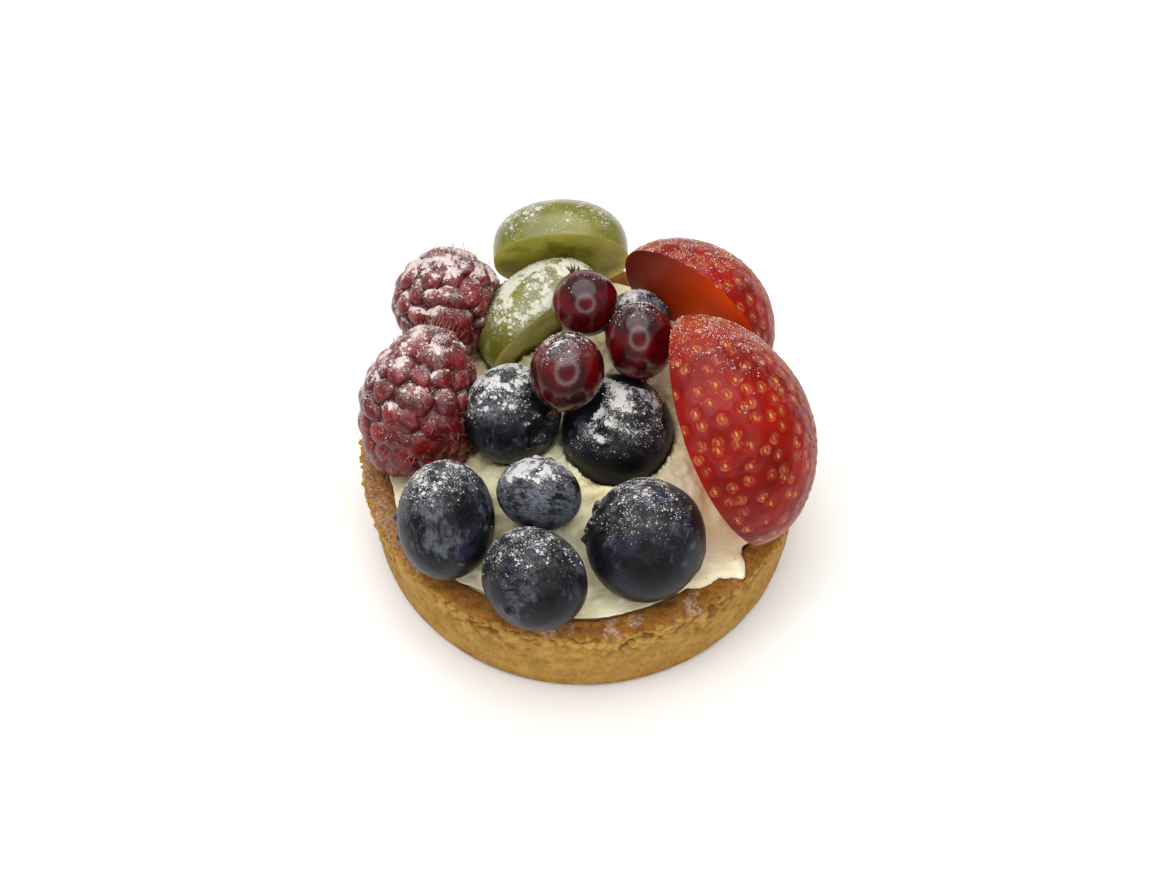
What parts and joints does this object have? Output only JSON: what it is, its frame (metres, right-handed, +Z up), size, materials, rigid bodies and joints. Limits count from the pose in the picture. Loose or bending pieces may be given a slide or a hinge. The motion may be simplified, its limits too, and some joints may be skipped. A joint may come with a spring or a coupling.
{
  "type": "fruit tart",
  "caption": "Small round shortcrust tart case filled with cream and heaped with whole and halved fruit under a dusting of icing sugar.",
  "frame": {"origin": "centre of the tart case's flat underside, on the surface it stands on", "axes": "+Z up, -Y towards the front of the tart where the berries leave cream showing, +X towards the halved strawberries"},
  "size_m": [0.0752, 0.0794, 0.049],
  "materials": {
    "crust": "baked shortcrust, sandy and crumbly, toasted along the rim",
    "cream": "pale ivory cream, smooth and softly spread",
    "blueberry_skin": "near-black navy skin with a cloudy grey-blue bloom",
    "currant_skin": "glossy dark burgundy skin",
    "raspberry_flesh": "soft deep crimson drupelets with fine hairs",
    "grape_flesh": "olive green, half clear skin and flesh",
    "strawberry_flesh": "bright red pitted skin with golden seeds, darker cut face"
  },
  "bodies": {
    "root": {"crust": "crust", "cream": "cream", "blueberry_front_left": "blueberry_skin", "blueberry_front": "blueberry_skin", "blueberry_front_right": "blueberry_skin", "blueberry_raised": "blueberry_skin", "blueberry_middle_left": "blueberry_skin", "blueberry_middle_right": "blueberry_skin", "blueberry_back": "blueberry_skin", "currant_back": "currant_skin", "currant_left": "currant_skin", "currant_right": "currant_skin", "raspberry_left": "raspberry_flesh", "raspberry_back_left": "raspberry_flesh", "grape_half_back": "grape_flesh", "grape_half_middle": "grape_flesh", "strawberry_half_right": "strawberry_flesh", "strawberry_half_back": "strawberry_flesh"}
  },
  "joints": []
}
